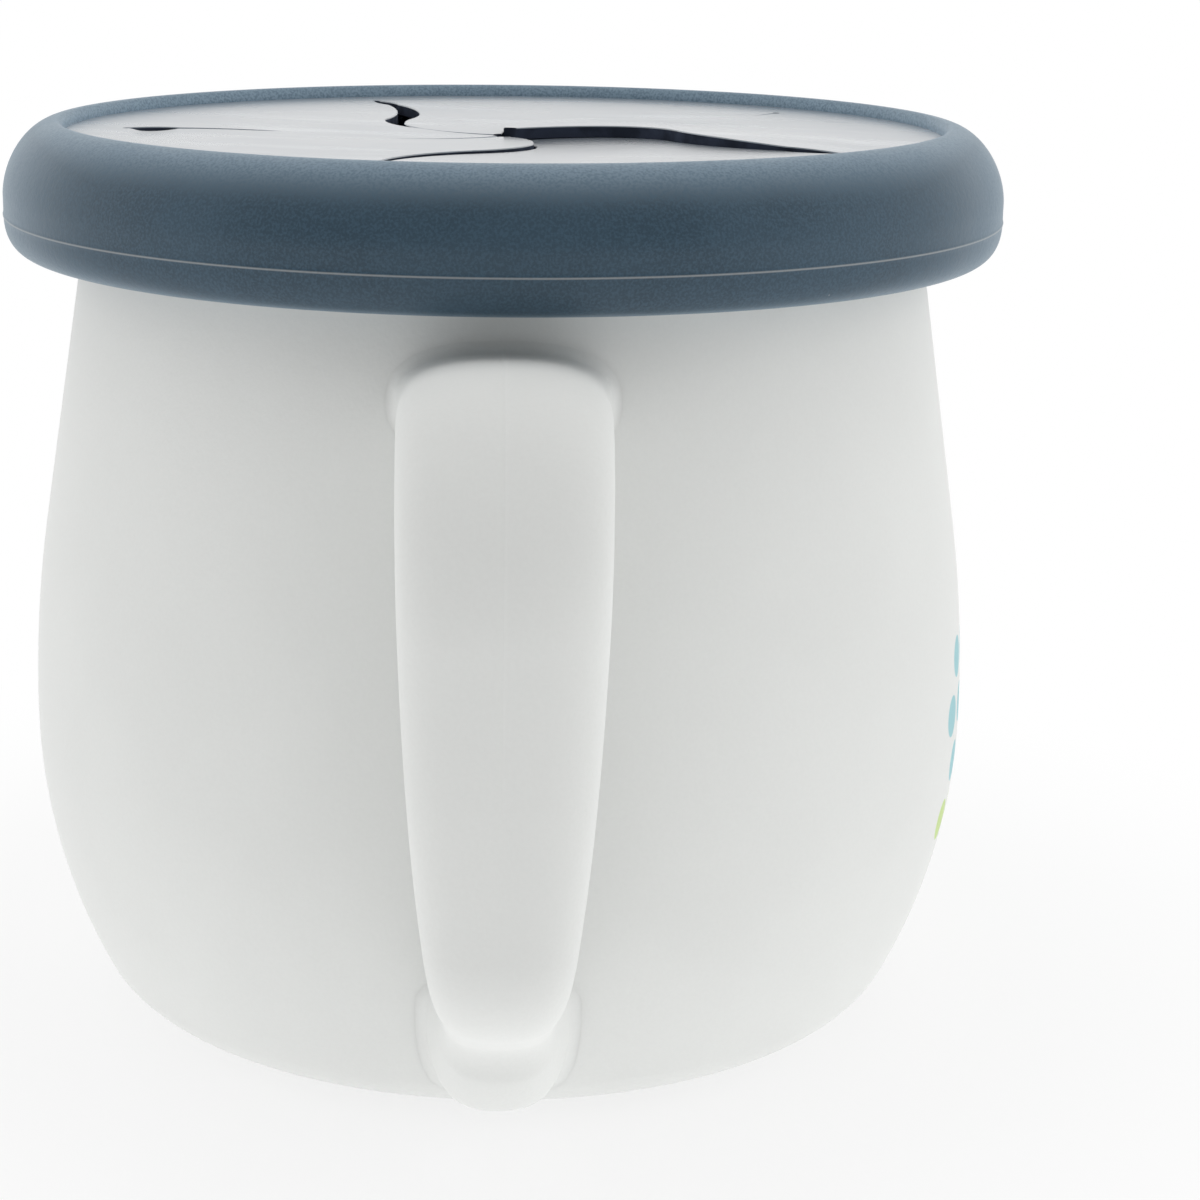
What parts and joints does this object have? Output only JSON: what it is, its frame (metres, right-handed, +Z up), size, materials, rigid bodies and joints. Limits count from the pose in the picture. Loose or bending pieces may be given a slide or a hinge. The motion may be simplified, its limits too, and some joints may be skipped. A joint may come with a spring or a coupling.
{
  "type": "toddler snack cup",
  "caption": "Pot-bellied soft silicone snack cup with one loop handle and a stretch lid whose panel is cut into flaps for a hand to push through.",
  "frame": {"origin": "centre of the flat base, on the cup's axis", "axes": "+Z up along the cup's axis, -Y towards the handle"},
  "size_m": [0.0902, 0.113, 0.0822],
  "materials": {
    "frosted_silicone": "matte frosted, slightly translucent",
    "slate_silicone": "matte",
    "slate_panel": "satin, fine streaks"
  },
  "bodies": {
    "cup": {"cup_shell": "frosted_silicone", "handle": "frosted_silicone"},
    "lid": {"lid_rim": "slate_silicone", "seal_lip": "slate_silicone", "lid_panel": "slate_panel"},
    "flap_1": {"flap_1": "slate_panel"},
    "flap_2": {"flap_2": "slate_panel"},
    "flap_3": {"flap_3": "slate_panel"},
    "flap_4": {"flap_4": "slate_panel"},
    "flap_5": {"flap_5": "slate_panel"}
  },
  "joints": [
    {"name": "lid_lift", "type": "slide", "parent": "cup", "child": "lid", "axis": [0, 0, 1], "range_m": [0, 0.05]},
    {"name": "flap_1_swing", "type": "hinge", "parent": "lid", "child": "flap_1", "pos_m": [0.00756, 0.02654, 0.08055], "axis": [0.9617, -0.274, 0], "range_deg": [-50, 70], "stiffness_Nm_per_rad": 0.006},
    {"name": "flap_2_swing", "type": "hinge", "parent": "lid", "child": "flap_2", "pos_m": [-0.02291, 0.01539, 0.08055], "axis": [0.5577, 0.83, 0], "range_deg": [-50, 70], "stiffness_Nm_per_rad": 0.006},
    {"name": "flap_3_swing", "type": "hinge", "parent": "lid", "child": "flap_3", "pos_m": [-0.02172, -0.01703, 0.08055], "axis": [-0.617, 0.7869, 0], "range_deg": [-50, 70], "stiffness_Nm_per_rad": 0.006},
    {"name": "flap_4_swing", "type": "hinge", "parent": "lid", "child": "flap_4", "pos_m": [0.00948, -0.02592, 0.08055], "axis": [-0.9391, -0.3437, 0], "range_deg": [-50, 70], "stiffness_Nm_per_rad": 0.006},
    {"name": "flap_5_swing", "type": "hinge", "parent": "lid", "child": "flap_5", "pos_m": [0.02758, 0.00101, 0.08055], "axis": [0.0366, -0.9993, 0], "range_deg": [-50, 70], "stiffness_Nm_per_rad": 0.006}
  ]
}
